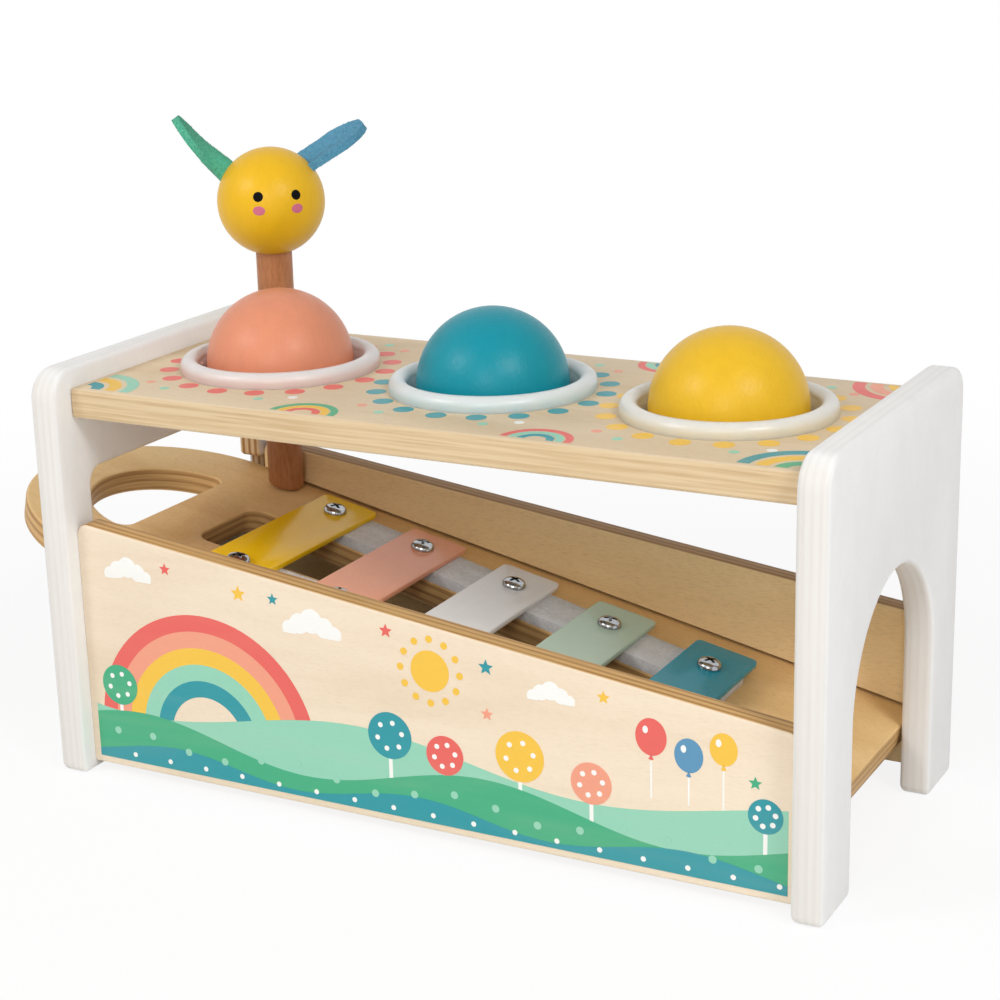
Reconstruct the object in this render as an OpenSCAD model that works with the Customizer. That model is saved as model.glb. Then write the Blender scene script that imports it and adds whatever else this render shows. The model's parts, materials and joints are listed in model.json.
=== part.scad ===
// Ball pounding bench with a slide-out xylophone tray and a mallet.
// Sizes are in millimetres and +Z is up. X = 0 lies midway between the end panels,
// Y = 0 halfway through their depth with the front at -Y, and Z = 0 is the table.

/* [End panels] */
// Length of the bench over the outer faces of the end panels
bench_length = 250; // [236:1:290]
// Depth of the end panels from front edge to rear edge
end_depth = 115; // [110:1:135]
// Height of the end panels
end_height = 128; // [124:1:145]
// Plywood thickness of the end panels
end_ply = 9; // [8:0.5:12]
// Radius of the end panels' top corners
end_top_radius = 9; // [4:0.5:16]
// Radius of the end panels' foot corners
end_foot_radius = 3; // [1:0.5:6]
// Width of the arch in the right end panel
arch_width = 69; // [56:1:76]
// Height of the arch's crown above the table
arch_height = 82.5; // [70:0.5:95]
// Height of wood between the window and the top of the left end panel
window_top_rail = 33; // [28:0.5:36]
// Radius of the window's top corners
window_radius = 5; // [2:0.5:9]
// How far each side of the window stands in from the boards behind it
window_lip = 1.7; // [0.5:0.1:4]

/* [Top plate] */
// Plywood thickness of the top plate
plate_ply = 9; // [8:0.5:12]
// How far the end panels stand up above the plate
plate_drop = 6; // [3:0.5:10]
// Distance of the plate's front edge behind the end panels' front edges
plate_front_inset = 7.8; // [4:0.1:12]
// Distance of the plate's rear edge before the end panels' rear edges
plate_rear_inset = 10; // [6:0.1:12]

/* [Balls and rings] */
// Diameter of the balls
ball_d = 45; // [44.6:0.1:50]
// Distance from an end panel's inner face to the axis of the nearest ball
ball_end_gap = 42; // [38:0.5:48]
// How far the row of balls stands right of the middle
ball_row_shift = 1.4; // [-3:0.1:3]
// How much smaller the ring's lip is than the ball, on the radius
ring_grip = 1; // [0.5:0.1:2]
// Depth of the ring's lip below the plate's top
ring_lip_depth = 6; // [4:0.5:7]
// Gap round the ball at the ring's mouth
ring_mouth_gap = 2.7; // [1.5:0.1:4]
// Width of the ring's rim
ring_rim_w = 5.4; // [4:0.1:8]
// Height of the ring's rim above the plate
ring_rim_h = 4.5; // [3.5:0.1:6]
// Thickness of the ring's sleeve at the plate's top
ring_sleeve_wall = 1.2; // [0.8:0.1:2]

/* [Boards] */
// Plywood thickness of the front panel and the rear rail
board_ply = 7.6; // [7:0.1:10]
// Distance of the front panel's face behind the end panels' front edges
front_inset = 5.8; // [2:0.1:9]
// Distance of the rear rail's face before the end panels' rear edges
rail_inset = 0; // [0:0.1:3]
// Height of the boards' bottom edges above the table
board_lift = 2.8; // [1:0.1:5]
// Height of the boards' top edges above the tray at the left end
board_lip_left = 10; // [6:0.5:14]
// Height of the boards' top edges above the tray at the right end
board_lip_right = 31; // [25:0.5:36]
// Radius of the boards' top corners
board_radius = 3.5; // [1:0.5:5]
// Depth of the tray grooves in the boards
groove_depth = 3.4; // [2:0.1:4.5]

/* [Tray] */
// Slope of the tray
tray_angle = 12.18; // [10:0.01:13]
// Height of the tray's top face at the middle of the bench
tray_mid_z = 45.7; // [44:0.1:50]
// Plywood thickness of the tray
tray_ply = 8; // [7:0.1:9]
// How far the handle stands out past the left end panel, along the slope
handle_reach = 41.2; // [34:0.1:48]
// Radius of the half-round finger hole
finger_hole_r = 27.5; // [22:0.5:30]
// Width of wood between the finger hole and the handle's edge
finger_hole_web = 20; // [14:0.5:24]
// Radius of the finger hole's two corners
finger_hole_corner = 4; // [2:0.5:8]
// Width of the sound hole at its left end
sound_hole_w = 32.6; // [26:0.2:34]
// Radius of the sound hole's corners
sound_hole_corner = 5; // [2:0.5:6]

/* [Bars] */
// Length of the longest bar
bar_longest = 77.2; // [70:0.1:77.2]
// How much shorter each next bar is
bar_step = 2.2; // [1:0.1:4]
// Width of a bar
bar_w = 20.2; // [16:0.2:24]
// Thickness of a bar
bar_t = 2; // [1.5:0.1:3]
// Radius of the bars' corners
bar_corner = 2; // [0.5:0.1:4]
// Distance along the tray from the left end panel's inner face to the first bar's axis
bar_first_gap = 42.5; // [38:0.1:50]
// Distance along the tray from its right end to the last bar's axis
bar_last_gap = 56.1; // [40:0.1:60]
// Width of the felt strips
felt_w = 17; // [14:0.5:20]
// Thickness of the felt strips
felt_t = 3.5; // [2:0.1:4]
// How far the felt strips stop short of the outer bars' edges
felt_short = 1; // [0:0.1:4]
// How far the felt's middle line stands in from the line of screws
felt_inset = 0.5; // [0:0.1:3]
// How far the bars' middle line stands before the tray's middle line, under the balls
bar_shift = 4.1; // [3:0.1:4.5]
// Distance from the bars' middle line to the first bar's screws
screw_reach = 27.9; // [26:0.1:29]
// How far the lines of screws close in for each millimetre along the tray
screw_taper = 0.0659; // [0.05:0.0001:0.07]

/* [Screws] */
// Diameter of a screw's head
screw_head_d = 7.5; // [6:0.1:8]
// Height of a screw's head
screw_head_h = 2.4; // [1.6:0.1:3]
// Diameter of a screw's shank
screw_d = 3.5; // [2.5:0.1:4]
// Length of a screw under its head
screw_l = 11.5; // [10:0.5:12.5]
// Length of the cross slot in a screw's head
screw_slot_l = 4.4; // [3:0.1:5]
// Width of the cross slot
screw_slot_w = 1.1; // [0.6:0.1:1.4]
// Depth of the cross slot
screw_slot_depth = 1.3; // [0.8:0.1:1.5]

/* [Mallet] */
// Diameter of the mallet's handle
handle_d = 11.8; // [10:0.1:12.4]
// Length of the mallet's handle along its longer side
handle_l = 93.5; // [82:0.5:112]
// Distance from the left end panel's inner face to the handle's axis
handle_end_gap = 12.9; // [11:0.1:16]
// Diameter of the mallet's head
head_d = 35; // [30:0.5:40]
// Length of handle inside the head
head_socket = 12.4; // [8:0.1:15]
// Length of a wing outside the head
wing_l = 23.5; // [18:0.5:30]
// Width of a wing
wing_w = 13; // [9:0.5:16]
// Width of a wing at its root
wing_root_w = 8; // [6:0.5:9]
// Thickness of a wing
wing_t = 3; // [2:0.1:4]
// Length of a wing inside the head
wing_root_l = 5; // [3:0.5:7]
// Compass angle and lift of the green wing's root
wing_green_root = [196, 34];
// How far the green wing is then tipped up, and rolled about its length
wing_green_turn = [10, 0];
// Compass angle and lift of the blue wing's root
wing_blue_root = [44, 42];
// How far the blue wing is then tipped up, and rolled about its length
wing_blue_turn = [-11, 13];

/* [Pegs] */
// Diameter of the joint pegs
peg_d = 4; // [3:0.1:5]
// Length of the joint pegs
peg_l = 20; // [16:0.5:24]
// Length of a peg inside the end panel
peg_in_end = 6; // [4:0.5:7]
// Distance of the plate's pegs from its front and rear edges
plate_peg_inset = 18; // [14:0.5:24]
// Distance of the boards' pegs from their edges and from the groove
board_peg_inset = 9; // [7:0.5:11]

/* [Clearances] */
// Gap between the tray's underside and the groove
tray_gap_below = 0.2; // [0.1:0.05:0.5]
// Gap between the tray's top and the groove
tray_gap_above = 0.8; // [0.3:0.1:1.5]
// Gap at each side of the tray in its grooves, and at its right end
tray_gap_side = 0.4; // [0.2:0.1:1]
// Gap at each side of the tray in the left end panel's slot
slot_gap_side = 0.6; // [0.3:0.1:1.2]
// Height of the slot above the tray at the outer face
slot_gap_above = 2.5; // [1:0.1:4]
// Gap under the tray in the slot
slot_gap_below = 0.5; // [0.2:0.1:2]
// Gap between a resting piece and its seat
seat_gap = 0.3; // [0.1:0.05:0.6]
// Gap round the mallet's handle in its notch
notch_gap = 0.4; // [0.2:0.1:1]
// Gap round glued and screwed pieces
glue_gap = 0.05; // [0.02:0.01:0.15]
// Gap round a screw's shank in a bar
bar_hole_gap = 0.5; // [0.2:0.1:0.6]

/* [Hidden] */
$fn = 96;
arc_steps = 8;
past = 1;
bar_colors = ["gold", "salmon", "gainsboro", "darkseagreen", "teal"];
bar_count = len(bar_colors);
ball_colors = ["salmon", "darkcyan", "gold"];

// Faces of the bench
inner_x = bench_length / 2 - end_ply;
plate_top = end_height - plate_drop;
plate_bottom = plate_top - plate_ply;
plate_front = -end_depth / 2 + plate_front_inset;
plate_rear = end_depth / 2 - plate_rear_inset;
plate_y = (plate_front + plate_rear) / 2;
front_face = -end_depth / 2 + front_inset;
front_back = front_face + board_ply;
rail_back = end_depth / 2 - rail_inset;
rail_face = rail_back - board_ply;

// The tray lies in its own tilted plane: along the slope, across it, and out of it
slope = tan(tray_angle);
slope_length = 1 / cos(tray_angle);
tray_y = (front_back + rail_face) / 2;
tray_w = rail_face - front_back + 2 * (groove_depth - tray_gap_side);
tray_right = (inner_x - tray_gap_side) * slope_length;
tray_tip = -bench_length / 2 * slope_length - handle_reach;
handle_r = tray_w / 2;
handle_s = tray_tip + handle_r;
finger_hole_s = tray_tip + finger_hole_web + finger_hole_r;

// Bars and screws along the tray
bar_first = -inner_x * slope_length + bar_first_gap;
bar_last = tray_right - bar_last_gap;
bar_pitch = (bar_last - bar_first) / (bar_count - 1);
sound_hole_left = bar_first - bar_w / 2 - 1.5 * screw_head_d - sound_hole_corner;

// Balls, rings and mallet
ball_r = ball_d / 2;
ball_pitch = inner_x - ball_end_gap;
ring_lip_r = ball_r - ring_grip;
ring_mouth_r = ball_r + ring_mouth_gap;
ring_rim_r = ring_rim_w / 2;
ring_rim_z = ring_rim_h - ring_rim_r;
ring_funnel_h = ring_lip_depth + ring_rim_z;
ring_plate_r = ring_lip_r + (ring_mouth_r - ring_lip_r) * ring_lip_depth / ring_funnel_h;
ring_sleeve_r = ring_plate_r + ring_sleeve_wall;
ball_z = plate_top - ring_lip_depth + sqrt(pow(ball_r + seat_gap, 2) - pow(ring_lip_r, 2));
handle_r_mallet = handle_d / 2;
mallet_x = -inner_x + handle_end_gap;
mallet_y = rail_face - seat_gap - handle_r_mallet;
mallet_z = tray_z(mallet_x + handle_r_mallet) + seat_gap * slope_length;
head_r = head_d / 2;
head_z = mallet_z + handle_l - head_socket + sqrt(pow(head_r, 2) - pow(handle_r_mallet, 2));

// Height of the tray's top face, and of its underside, at a place along the bench
function tray_z(x) = tray_mid_z - slope * x;
function tray_under(x) = tray_z(x) - tray_ply * slope_length;

function bar_s(i) = bar_first + i * bar_pitch;
function bar_l(i) = bar_longest - i * bar_step;
function screw_y(s) = screw_reach - screw_taper * (s - bar_first);
function ball_x(i) = ball_row_shift + (i - 1) * ball_pitch;

// Outline with rounded corners, from a list of [x, y, radius] that goes round it
function unit(v) = v / norm(v);
function turned(a) = a > 180 ? a - 360 : a < -180 ? a + 360 : a;
function rounded_corner(p, q, n, r) =
    let (u = unit(p - q), v = unit(n - q), half = acos(u * v) / 2)
    let (middle = q + unit(u + v) * r / sin(half), reach = r / tan(half))
    let (from = q + u * reach - middle, to = q + v * reach - middle)
    let (start = atan2(from[1], from[0]), sweep = turned(atan2(to[1], to[0]) - start))
    [for (k = [0 : arc_steps]) middle + r * [cos(start + sweep * k / arc_steps), sin(start + sweep * k / arc_steps)]];
function xy(p) = [p[0], p[1]];
function rounded(corners) =
    let (n = len(corners))
    [for (i = [0 : n - 1])
        let (q = corners[i], p = corners[(i + n - 1) % n], t = corners[(i + 1) % n])
        each (q[2] > 0 ? rounded_corner(xy(p), xy(q), xy(t), q[2]) : [xy(q)])];

// Places

// Stands a drawing made in Y and Z up as a panel that grows along +X
module across_bench(thickness) rotate([90, 0, 90]) linear_extrude(thickness) children();

// Stands a drawing made in X and Z up as a board that grows along +Y from a face
module along_bench(face, thickness)
    translate([0, face + thickness, 0]) rotate([90, 0, 0]) linear_extrude(thickness) children();

// The tray's own plane: X along the slope, Z out of the top face
module on_tray() translate([0, tray_y, tray_mid_z]) rotate([0, tray_angle, 0]) children();

// The same plane with its middle line under the balls, for the bars and what holds them
module under_balls() on_tray() translate([0, -bar_shift, 0]) children();

// Pegs

module peg(gap) rotate([0, 90, 0]) cylinder(d = peg_d + 2 * gap, h = peg_l + 2 * gap, center = true);

// Each place is [side, y, z]; side is -1 at the left end panel and 1 at the right one
module pegs_at(places, gap) {
    for (p = places)
        translate([p[0] * (inner_x + peg_in_end - peg_l / 2), p[1], p[2]]) peg(gap);
}

plate_peg_places = [
    for (side = [-1, 1]) for (y = [plate_front + plate_peg_inset, plate_rear - plate_peg_inset])
        [side, y, (plate_top + plate_bottom) / 2]
];
function board_peg_places(y) = [
    [-1, y, board_lift + board_peg_inset],
    [-1, y, tray_under(-inner_x) - board_peg_inset],
    [1, y, tray_z(inner_x) + board_peg_inset],
    [1, y, tray_z(inner_x) + board_lip_right - board_peg_inset]
];
front_peg_places = board_peg_places(front_face + board_ply / 2);
rail_peg_places = board_peg_places(rail_face + board_ply / 2);

module all_peg_holes() {
    pegs_at(plate_peg_places, glue_gap);
    pegs_at(front_peg_places, glue_gap);
    pegs_at(rail_peg_places, glue_gap);
}

module top_pegs() color("burlywood") pegs_at(plate_peg_places, 0);

module front_pegs() color("burlywood") pegs_at(front_peg_places, 0);

module rail_pegs() color("burlywood") pegs_at(rail_peg_places, 0);

// End panels

module end_outline() polygon(rounded([
    [-end_depth / 2, 0, end_foot_radius],
    [end_depth / 2, 0, end_foot_radius],
    [end_depth / 2, end_height, end_top_radius],
    [-end_depth / 2, end_height, end_top_radius]
]));

// What is cut away to round one inner foot corner
module foot_corner_cut() difference() {
    translate([0, -past]) square([end_foot_radius, end_foot_radius + past]);
    translate([end_foot_radius, end_foot_radius]) circle(end_foot_radius);
    translate([end_foot_radius, -past]) square(end_foot_radius + past);
}

module arch_cut() {
    spring = arch_height - arch_width / 2;
    translate([0, spring]) circle(d = arch_width);
    translate([-arch_width / 2, -past]) square([arch_width, spring + past]);
    for (side = [0, 1]) mirror([side, 0]) translate([arch_width / 2, 0]) foot_corner_cut();
}

module window_cut() {
    front = front_back + window_lip;
    rear = rail_face - window_lip;
    top = end_height - window_top_rail;
    sill = tray_under(-inner_x) - slot_gap_below;
    slot_top = tray_z(-bench_length / 2) + slot_gap_above;
    slot_half = tray_w / 2 + slot_gap_side;
    polygon(rounded([
        [tray_y - slot_half, sill, 0],
        [tray_y + slot_half, sill, 0],
        [tray_y + slot_half, slot_top, 0],
        [rear, slot_top, 0],
        [rear, top, window_radius],
        [front, top, window_radius],
        [front, slot_top, 0],
        [tray_y - slot_half, slot_top, 0]
    ]));
}

module left_end_panel() color("whitesmoke") difference() {
    translate([-bench_length / 2, 0, 0]) across_bench(end_ply) difference() {
        end_outline();
        window_cut();
    }
    all_peg_holes();
}

module right_end_panel() color("whitesmoke") difference() {
    translate([inner_x, 0, 0]) across_bench(end_ply) difference() {
        end_outline();
        arch_cut();
    }
    all_peg_holes();
}

// Top plate

module top_plate() color("wheat") difference() {
    translate([-inner_x, plate_front, plate_bottom])
        cube([2 * inner_x, plate_rear - plate_front, plate_ply]);
    for (i = [0 : 2])
        translate([ball_x(i), plate_y, plate_bottom - past])
            cylinder(r = ring_sleeve_r + glue_gap, h = plate_ply + 2 * past);
    translate([mallet_x, mallet_y, plate_bottom - past])
        cylinder(r = handle_r_mallet + notch_gap, h = plate_ply + 2 * past);
    pegs_at(plate_peg_places, glue_gap);
}

// Front panel and rear rail

module board_outline() polygon(rounded([
    [-inner_x, board_lift, 0],
    [inner_x, board_lift, 0],
    [inner_x, tray_z(inner_x) + board_lip_right, board_radius],
    [-inner_x, tray_z(-inner_x) + board_lip_left, board_radius]
]));

// The space that the tray's two edges slide in
module groove_cut() {
    run = (inner_x + tray_ply + past) * slope_length;
    width = tray_w + 2 * tray_gap_side;
    on_tray() translate([-run, -width / 2, -tray_ply - tray_gap_below])
        cube([2 * run, width, tray_ply + tray_gap_below + tray_gap_above]);
}

module front_panel() color("wheat") difference() {
    along_bench(front_face, board_ply) board_outline();
    groove_cut();
    pegs_at(front_peg_places, glue_gap);
}

module rear_rail() color("burlywood") difference() {
    along_bench(rail_face, board_ply) board_outline();
    groove_cut();
    pegs_at(rail_peg_places, glue_gap);
}

// Rings and balls

// Half section of a ring: sleeve, lip and rounded rim, measured from the plate's top
module ring_section() {
    polygon([
        [ring_mouth_r, ring_rim_z],
        [ring_lip_r, -ring_lip_depth],
        [ring_lip_r, -ring_lip_depth - ring_grip],
        [ring_lip_r + ring_grip, -plate_ply],
        [ring_sleeve_r, -plate_ply],
        [ring_sleeve_r, 0],
        [ring_mouth_r + ring_rim_w, 0],
        [ring_mouth_r + ring_rim_w, ring_rim_z]
    ]);
    intersection() {
        translate([ring_mouth_r + ring_rim_r, ring_rim_z]) circle(ring_rim_r);
        translate([ring_mouth_r, 0]) square([ring_rim_w, ring_rim_h]);
    }
}

module ring(i) color("ghostwhite", 0.8)
    translate([ball_x(i), plate_y, plate_top]) rotate_extrude() ring_section();

module ball(i) color(ball_colors[i]) translate([ball_x(i), plate_y, ball_z]) sphere(ball_r);

// Xylophone tray

// Half-round hole with its flat side on the Y axis and two rounded corners
module finger_hole() {
    corner_y = sqrt(pow(finger_hole_r - finger_hole_corner, 2) - pow(finger_hole_corner, 2));
    meet_x = -finger_hole_corner * finger_hole_r / (finger_hole_r - finger_hole_corner);
    intersection() {
        circle(finger_hole_r);
        translate([-2 * finger_hole_r, -finger_hole_r])
            square([2 * finger_hole_r + meet_x, 2 * finger_hole_r]);
    }
    translate([meet_x - past, -corner_y]) square([past - meet_x, 2 * corner_y]);
    for (side = [-1, 1])
        translate([-finger_hole_corner, side * corner_y]) circle(finger_hole_corner);
}

// The sound hole closes in to the right as the bars get shorter
module sound_hole() {
    wide = sound_hole_w / 2;
    narrow = wide - screw_taper * (bar_last - sound_hole_left);
    polygon(rounded([
        [sound_hole_left, -wide, sound_hole_corner],
        [bar_last, -narrow, sound_hole_corner],
        [bar_last, narrow, sound_hole_corner],
        [sound_hole_left, wide, sound_hole_corner]
    ]));
}

module tray_outline() difference() {
    union() {
        translate([handle_s, 0]) circle(handle_r);
        translate([handle_s, -tray_w / 2]) square([tray_right - handle_s, tray_w]);
    }
    translate([finger_hole_s, 0]) finger_hole();
    sound_hole();
}

module screw_holes(side) {
    for (i = [0 : bar_count - 1])
        translate([bar_s(i), side * screw_y(bar_s(i)), felt_t + bar_t - screw_l - glue_gap])
            cylinder(d = screw_d + 2 * glue_gap, h = screw_l + past);
}

module tray_board() color("tan") on_tray() difference() {
    translate([0, 0, -tray_ply]) linear_extrude(tray_ply) tray_outline();
    translate([0, -bar_shift, 0]) for (side = [-1, 1]) screw_holes(side);
}

// A felt strip follows the line of screws; side is 1 at the rear and -1 at the front
module felt_strip(side) color("lightgray") under_balls() difference() {
    left = bar_first - bar_w / 2 + felt_short;
    right = bar_last + bar_w / 2 - felt_short;
    linear_extrude(felt_t) polygon([
        for (p = [[left, -1], [right, -1], [right, 1], [left, 1]])
            [p[0], side * (screw_y(p[0]) - felt_inset) + p[1] * felt_w / 2]
    ]);
    screw_holes(side);
}

module bar(i) color(bar_colors[i]) under_balls() difference() {
    half_w = bar_w / 2;
    half_l = bar_l(i) / 2;
    translate([bar_s(i), 0, felt_t]) linear_extrude(bar_t) polygon(rounded([
        [-half_w, -half_l, bar_corner],
        [half_w, -half_l, bar_corner],
        [half_w, half_l, bar_corner],
        [-half_w, half_l, bar_corner]
    ]));
    for (side = [-1, 1])
        translate([bar_s(i), side * screw_y(bar_s(i)), felt_t - past])
            cylinder(d = screw_d + 2 * bar_hole_gap, h = bar_t + 2 * past);
}

// Pan head screw with its head's underside at Z = 0
module screw() difference() {
    crown = 0.6 * screw_head_h;
    union() {
        cylinder(d = screw_head_d, h = screw_head_h - crown);
        translate([0, 0, screw_head_h - crown]) intersection() {
            dome_r = (pow(screw_head_d / 2, 2) + pow(crown, 2)) / (2 * crown);
            translate([0, 0, crown - dome_r]) sphere(dome_r);
            cylinder(d = screw_head_d, h = crown);
        }
        translate([0, 0, -screw_l]) cylinder(d = screw_d, h = screw_l);
    }
    for (turn = [0, 90]) rotate(turn)
        translate([-screw_slot_l / 2, -screw_slot_w / 2, screw_head_h - screw_slot_depth])
            cube([screw_slot_l, screw_slot_w, screw_slot_depth + past]);
}

module screws(side) color("silver") under_balls() {
    for (i = [0 : bar_count - 1])
        translate([bar_s(i), side * screw_y(bar_s(i)), felt_t + bar_t]) screw();
}

// Mallet

// The handle's lower end is cut to the slope of the tray that it stands on
module mallet_handle() color("peru") difference() {
    translate([mallet_x, mallet_y, mallet_z - past]) cylinder(d = handle_d, h = handle_l + past);
    on_tray() translate([-bench_length, 0, seat_gap - 2 * tray_ply])
        cube([bench_length, tray_w, 2 * tray_ply]);
}

// Sets a wing on the head's surface at its root, then tips it up and rolls it
module wing_place(root, turn)
    translate([mallet_x, mallet_y, head_z]) rotate([0, -root[1], root[0]])
        translate([head_r, 0, 0]) rotate([0, -turn[0], 0]) rotate([turn[1], 0, 0]) children();

module wing_slot(root, turn) {
    depth = wing_root_l + glue_gap;
    wing_place(root, turn) translate([-depth, -wing_root_w / 2 - glue_gap, -wing_t / 2 - glue_gap])
        cube([depth + head_r, wing_root_w + 2 * glue_gap, wing_t + 2 * glue_gap]);
}

module wing(root, turn) wing_place(root, turn) translate([0, 0, -wing_t / 2]) linear_extrude(wing_t) {
    waist = wing_l / 3;
    polygon(rounded([
        [-wing_root_l, -wing_root_w / 2, 0],
        [past, -wing_root_w / 2, 0],
        [waist, -wing_w / 2, wing_w / 4],
        [wing_l, -wing_w / 2, 0.45 * wing_w],
        [wing_l, wing_w / 2, 0.45 * wing_w],
        [waist, wing_w / 2, wing_w / 4],
        [past, wing_root_w / 2, 0],
        [-wing_root_l, wing_root_w / 2, 0]
    ]));
}

module mallet_head() color("gold") difference() {
    translate([mallet_x, mallet_y, head_z]) sphere(head_r);
    translate([mallet_x, mallet_y, mallet_z]) cylinder(d = handle_d + 2 * glue_gap, h = handle_l + glue_gap);
    wing_slot(wing_green_root, wing_green_turn);
    wing_slot(wing_blue_root, wing_blue_turn);
}

module wing_green() color("mediumseagreen") wing(wing_green_root, wing_green_turn);

module wing_blue() color("steelblue") wing(wing_blue_root, wing_blue_turn);

left_end_panel();
right_end_panel();
top_plate();
front_panel();
rear_rail();
top_pegs();
front_pegs();
rail_pegs();
ring(0);  // ring_left
ring(1);  // ring_middle
ring(2);  // ring_right
ball(0);  // ball_left
ball(1);  // ball_middle
ball(2);  // ball_right
tray_board();
felt_strip(1);  // felt_rear
felt_strip(-1);  // felt_front
bar(0);  // bar_yellow
bar(1);  // bar_coral
bar(2);  // bar_white
bar(3);  // bar_green
bar(4);  // bar_teal
screws(1);  // screws_rear
screws(-1);  // screws_front
mallet_handle();
mallet_head();
wing_green();
wing_blue();
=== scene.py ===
# %% [markdown]
# # A ball pounding bench with a xylophone tray
#
# This lesson dresses a wooden toy: a white painted bench, three lacquered balls in milky rings,
# a tray of metal bars that slides out, and a mallet with felt wings. The solids come from a packed
# model that already has the right sizes and joints. Blender adds the rounded edges, the finishes,
# the printed picture, the felt and the light. Everything below is in metres, and `MM` turns the
# millimetres of a maker's drawing into them.

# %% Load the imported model
import bpy
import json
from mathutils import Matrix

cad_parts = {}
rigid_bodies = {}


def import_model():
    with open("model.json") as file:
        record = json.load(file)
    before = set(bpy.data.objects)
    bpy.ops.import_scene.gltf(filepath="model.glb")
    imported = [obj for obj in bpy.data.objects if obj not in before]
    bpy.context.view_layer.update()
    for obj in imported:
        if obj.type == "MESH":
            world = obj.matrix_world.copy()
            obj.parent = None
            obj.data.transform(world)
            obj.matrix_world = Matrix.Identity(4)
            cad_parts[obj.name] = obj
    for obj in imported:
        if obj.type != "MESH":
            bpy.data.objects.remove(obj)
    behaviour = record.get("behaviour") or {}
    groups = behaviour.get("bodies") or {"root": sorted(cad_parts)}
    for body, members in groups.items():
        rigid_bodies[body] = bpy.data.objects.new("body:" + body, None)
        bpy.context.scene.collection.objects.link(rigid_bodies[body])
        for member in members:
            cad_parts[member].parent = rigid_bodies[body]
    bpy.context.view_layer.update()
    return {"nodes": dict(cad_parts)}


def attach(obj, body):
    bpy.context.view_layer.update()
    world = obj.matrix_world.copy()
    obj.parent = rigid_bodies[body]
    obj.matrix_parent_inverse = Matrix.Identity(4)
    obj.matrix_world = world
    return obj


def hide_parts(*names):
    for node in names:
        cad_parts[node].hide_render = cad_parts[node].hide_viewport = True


for spare in list(bpy.data.objects):
    bpy.data.objects.remove(spare)
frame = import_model()

import json
import math

import bmesh
from mathutils import Euler, Matrix, Vector, noise

scene = bpy.context.scene
MM = 0.001

# %% [markdown]
# ## The camera
#
# The picture is taken from the right and a little above with a long lens, so the bench hardly
# converges. A camera looks along its own -Z, so its matrix holds three columns: right, up and
# backwards. Writing them out from a compass turn, a dip and a small roll keeps each number one
# that a photographer could read off a tripod head.

# %% Camera
CAMERA_PLACE = Vector((298.8, -552.5, 276.64)) * MM
turn, dip, roll = (math.radians(angle) for angle in (28.237, 16.783, -1.462))
ahead = Vector((-math.sin(turn) * math.cos(dip), math.cos(turn) * math.cos(dip), -math.sin(dip)))
level = Vector((math.cos(turn), math.sin(turn), 0))
rise = level.cross(ahead)
right = level * math.cos(roll) + rise * math.sin(roll)
up = rise * math.cos(roll) - level * math.sin(roll)

camera = bpy.data.objects.new("camera", bpy.data.cameras.new("camera"))
camera.data.sensor_width = 36
camera.data.lens = 79.31
camera.data.clip_start = 0.01
columns = Matrix((right, up, -ahead)).transposed().to_4x4()
camera.matrix_world = Matrix.Translation(CAMERA_PLACE) @ columns
scene.collection.objects.link(camera)
scene.camera = camera
print("camera looks along", [round(v, 3) for v in ahead])

# %% [markdown]
# ## Small helpers for finishes
#
# A finish is a tree of nodes. `add` makes one node and either links or sets each input, so a tree
# reads like a list of sentences. Colours are written as the sRGB steps that a paint chart or a
# picture editor shows, and `colour` turns them into the linear light that shaders calculate with.

# %% Helpers for node trees


def colour(red, green, blue):
    """sRGB steps from 0 to 255 as a linear colour."""
    shares = [step / 255 for step in (red, green, blue)]
    return [s / 12.92 if s <= 0.04045 else ((s + 0.055) / 1.055) ** 2.4 for s in shares] + [1.0]


def add(tree, kind, inputs=None, **settings):
    """Adds a node, sets its properties, and links or sets its inputs."""
    node = tree.nodes.new(kind)
    for name, value in settings.items():
        setattr(node, name, value)
    for key, value in (inputs or {}).items():
        if isinstance(value, bpy.types.NodeSocket):
            tree.links.new(value, node.inputs[key])
        else:
            node.inputs[key].default_value = value
    return node


def work(tree, operation, *values):
    """One step of arithmetic on numbers or sockets."""
    return add(tree, "ShaderNodeMath", dict(enumerate(values)), operation=operation).outputs[0]


def between(tree, share, first, second, blend_type="MIX"):
    """A colour that goes from the first to the second as share goes from 0 to 1."""
    inputs = {0: share, 6: first, 7: second}
    return add(tree, "ShaderNodeMix", inputs, data_type="RGBA", blend_type=blend_type).outputs[2]


def ease(tree, value, low, high, to_low=0.0, to_high=1.0):
    """Maps a range onto another one with soft ends."""
    inputs = {"Value": value, "From Min": low, "From Max": high, "To Min": to_low, "To Max": to_high}
    return add(tree, "ShaderNodeMapRange", inputs, interpolation_type="SMOOTHSTEP").outputs[0]


def streaks(tree, place, scale, detail=4.0, rough=0.6, bend=0.0):
    """Noise that can be drawn out; scale is its turns per millimetre along X, Y and Z."""
    drawn = add(tree, "ShaderNodeVectorMath", {0: place, 1: scale}, operation="MULTIPLY").outputs[0]
    inputs = {"Vector": drawn, "Scale": 1.0, "Detail": detail, "Roughness": rough, "Distortion": bend}
    return add(tree, "ShaderNodeTexNoise", inputs).outputs[0]


def new_finish(name, **sockets):
    """A material with its tree and its shader, whose plain sockets are set by name."""
    finish = bpy.data.materials.new(name)
    finish.use_nodes = True
    shader = finish.node_tree.nodes["Principled BSDF"]
    for socket, value in sockets.items():
        shader.inputs[socket.replace("_", " ").title().replace("Ior", "IOR")].default_value = value
    return finish, finish.node_tree, shader


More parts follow.
